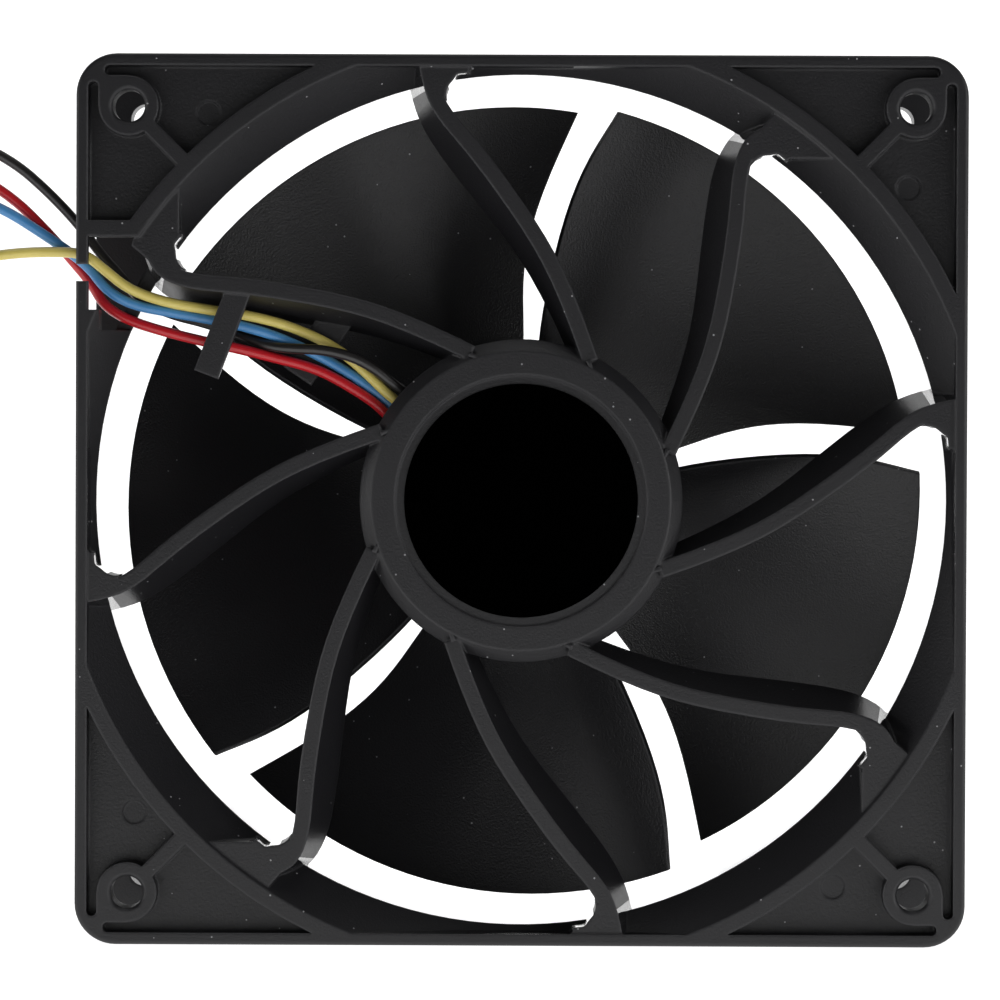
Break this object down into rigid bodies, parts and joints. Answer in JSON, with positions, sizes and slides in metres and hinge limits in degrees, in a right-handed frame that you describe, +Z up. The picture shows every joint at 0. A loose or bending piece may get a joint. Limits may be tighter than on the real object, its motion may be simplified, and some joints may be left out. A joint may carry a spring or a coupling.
{
  "type": "axial case fan",
  "caption": "Square axial cooling fan with a broad-bladed impeller, curved stator vanes and four loose leads ending in a plug.",
  "frame": {"origin": "on the ground, under the middle of the frame: bottom centre of the fan without its leads", "axes": "+Z up, +Y along the fan axis towards the intake side, -Y towards the outlet with the stator vanes"},
  "size_m": [0.1753, 0.0386, 0.119],
  "materials": {
    "frame_plastic": "satin black glass-filled moulding",
    "impeller_plastic": "satin black moulding, fine grain",
    "label_film": "matt black film",
    "yoke_steel": "plated steel",
    "magnet_ferrite": "dark bonded ferrite",
    "boss_brass": "turned brass",
    "shaft_steel": "ground steel",
    "spring_steel": "spring steel",
    "bearing_steel": "polished bearing steel",
    "cage_steel": "pressed steel",
    "lamination_steel": "stacked electrical steel",
    "bobbin_nylon": "natural nylon",
    "winding_copper": "enamelled copper wire",
    "terminal_metal": "tinned metal",
    "board_laminate": "green solder mask",
    "chip_epoxy": "black moulding compound",
    "capacitor_can": "drawn aluminium can",
    "chip_ceramic": "ceramic chip components",
    "solder": "solder",
    "insulation_black": "black vinyl insulation",
    "insulation_red": "red vinyl insulation",
    "insulation_blue": "light blue vinyl insulation",
    "insulation_yellow": "pale yellow vinyl insulation",
    "insulation_coil": "wound vinyl-insulated leads",
    "tie_nylon": "black nylon strap",
    "plug_nylon": "black nylon"
  },
  "bodies": {
    "frame": {"bearing_tube": "boss_brass", "board_capacitor": "capacitor_can", "board_resistors": "chip_ceramic", "bobbin_front": "bobbin_nylon", "bobbin_rear": "bobbin_nylon", "circuit_board": "board_laminate", "coil_tie": "tie_nylon", "connector_housing": "plug_nylon", "connector_terminals": "terminal_metal", "driver_ic": "chip_epoxy", "frame_housing": "frame_plastic", "front_bearing_outer_race": "bearing_steel", "front_bearing_shields": "cage_steel", "hall_sensor": "chip_epoxy", "lead_black": "insulation_black", "lead_blue": "insulation_blue", "lead_coil": "insulation_coil", "lead_red": "insulation_red", "lead_yellow": "insulation_yellow", "rear_bearing_outer_race": "bearing_steel", "rear_bearing_shields": "cage_steel", "rear_label": "label_film", "solder_joints": "solder", "stator_core": "lamination_steel", "switch_transistor": "chip_epoxy", "winding_pins": "terminal_metal", "windings": "winding_copper"},
    "rotor": {"impeller": "impeller_plastic", "rotor_yoke": "yoke_steel", "rotor_magnet": "magnet_ferrite", "shaft_boss": "boss_brass", "shaft": "shaft_steel", "shaft_clip": "spring_steel", "preload_spring": "spring_steel", "spring_washer": "spring_steel", "front_bearing_inner_race": "bearing_steel", "rear_bearing_inner_race": "bearing_steel"},
    "front_ball_set": {"front_bearing_balls": "bearing_steel", "front_bearing_cage": "cage_steel"},
    "rear_ball_set": {"rear_bearing_balls": "bearing_steel", "rear_bearing_cage": "cage_steel"}
  },
  "joints": [
    {"name": "rotor_spin", "type": "hinge", "parent": "frame", "child": "rotor", "pos_m": [0, 0, 0.0595], "axis": [0, 1, 0], "continuous": true},
    {"name": "front_balls_spin", "type": "hinge", "parent": "frame", "child": "front_ball_set", "pos_m": [0, 0, 0.0595], "axis": [0, 1, 0], "continuous": true},
    {"name": "rear_balls_spin", "type": "hinge", "parent": "frame", "child": "rear_ball_set", "pos_m": [0, 0, 0.0595], "axis": [0, 1, 0], "continuous": true}
  ],
  "couplings": [
    {"joint": "front_balls_spin", "follows": "rotor_spin", "ratio": 0.3556},
    {"joint": "rear_balls_spin", "follows": "rotor_spin", "ratio": 0.3556}
  ]
}
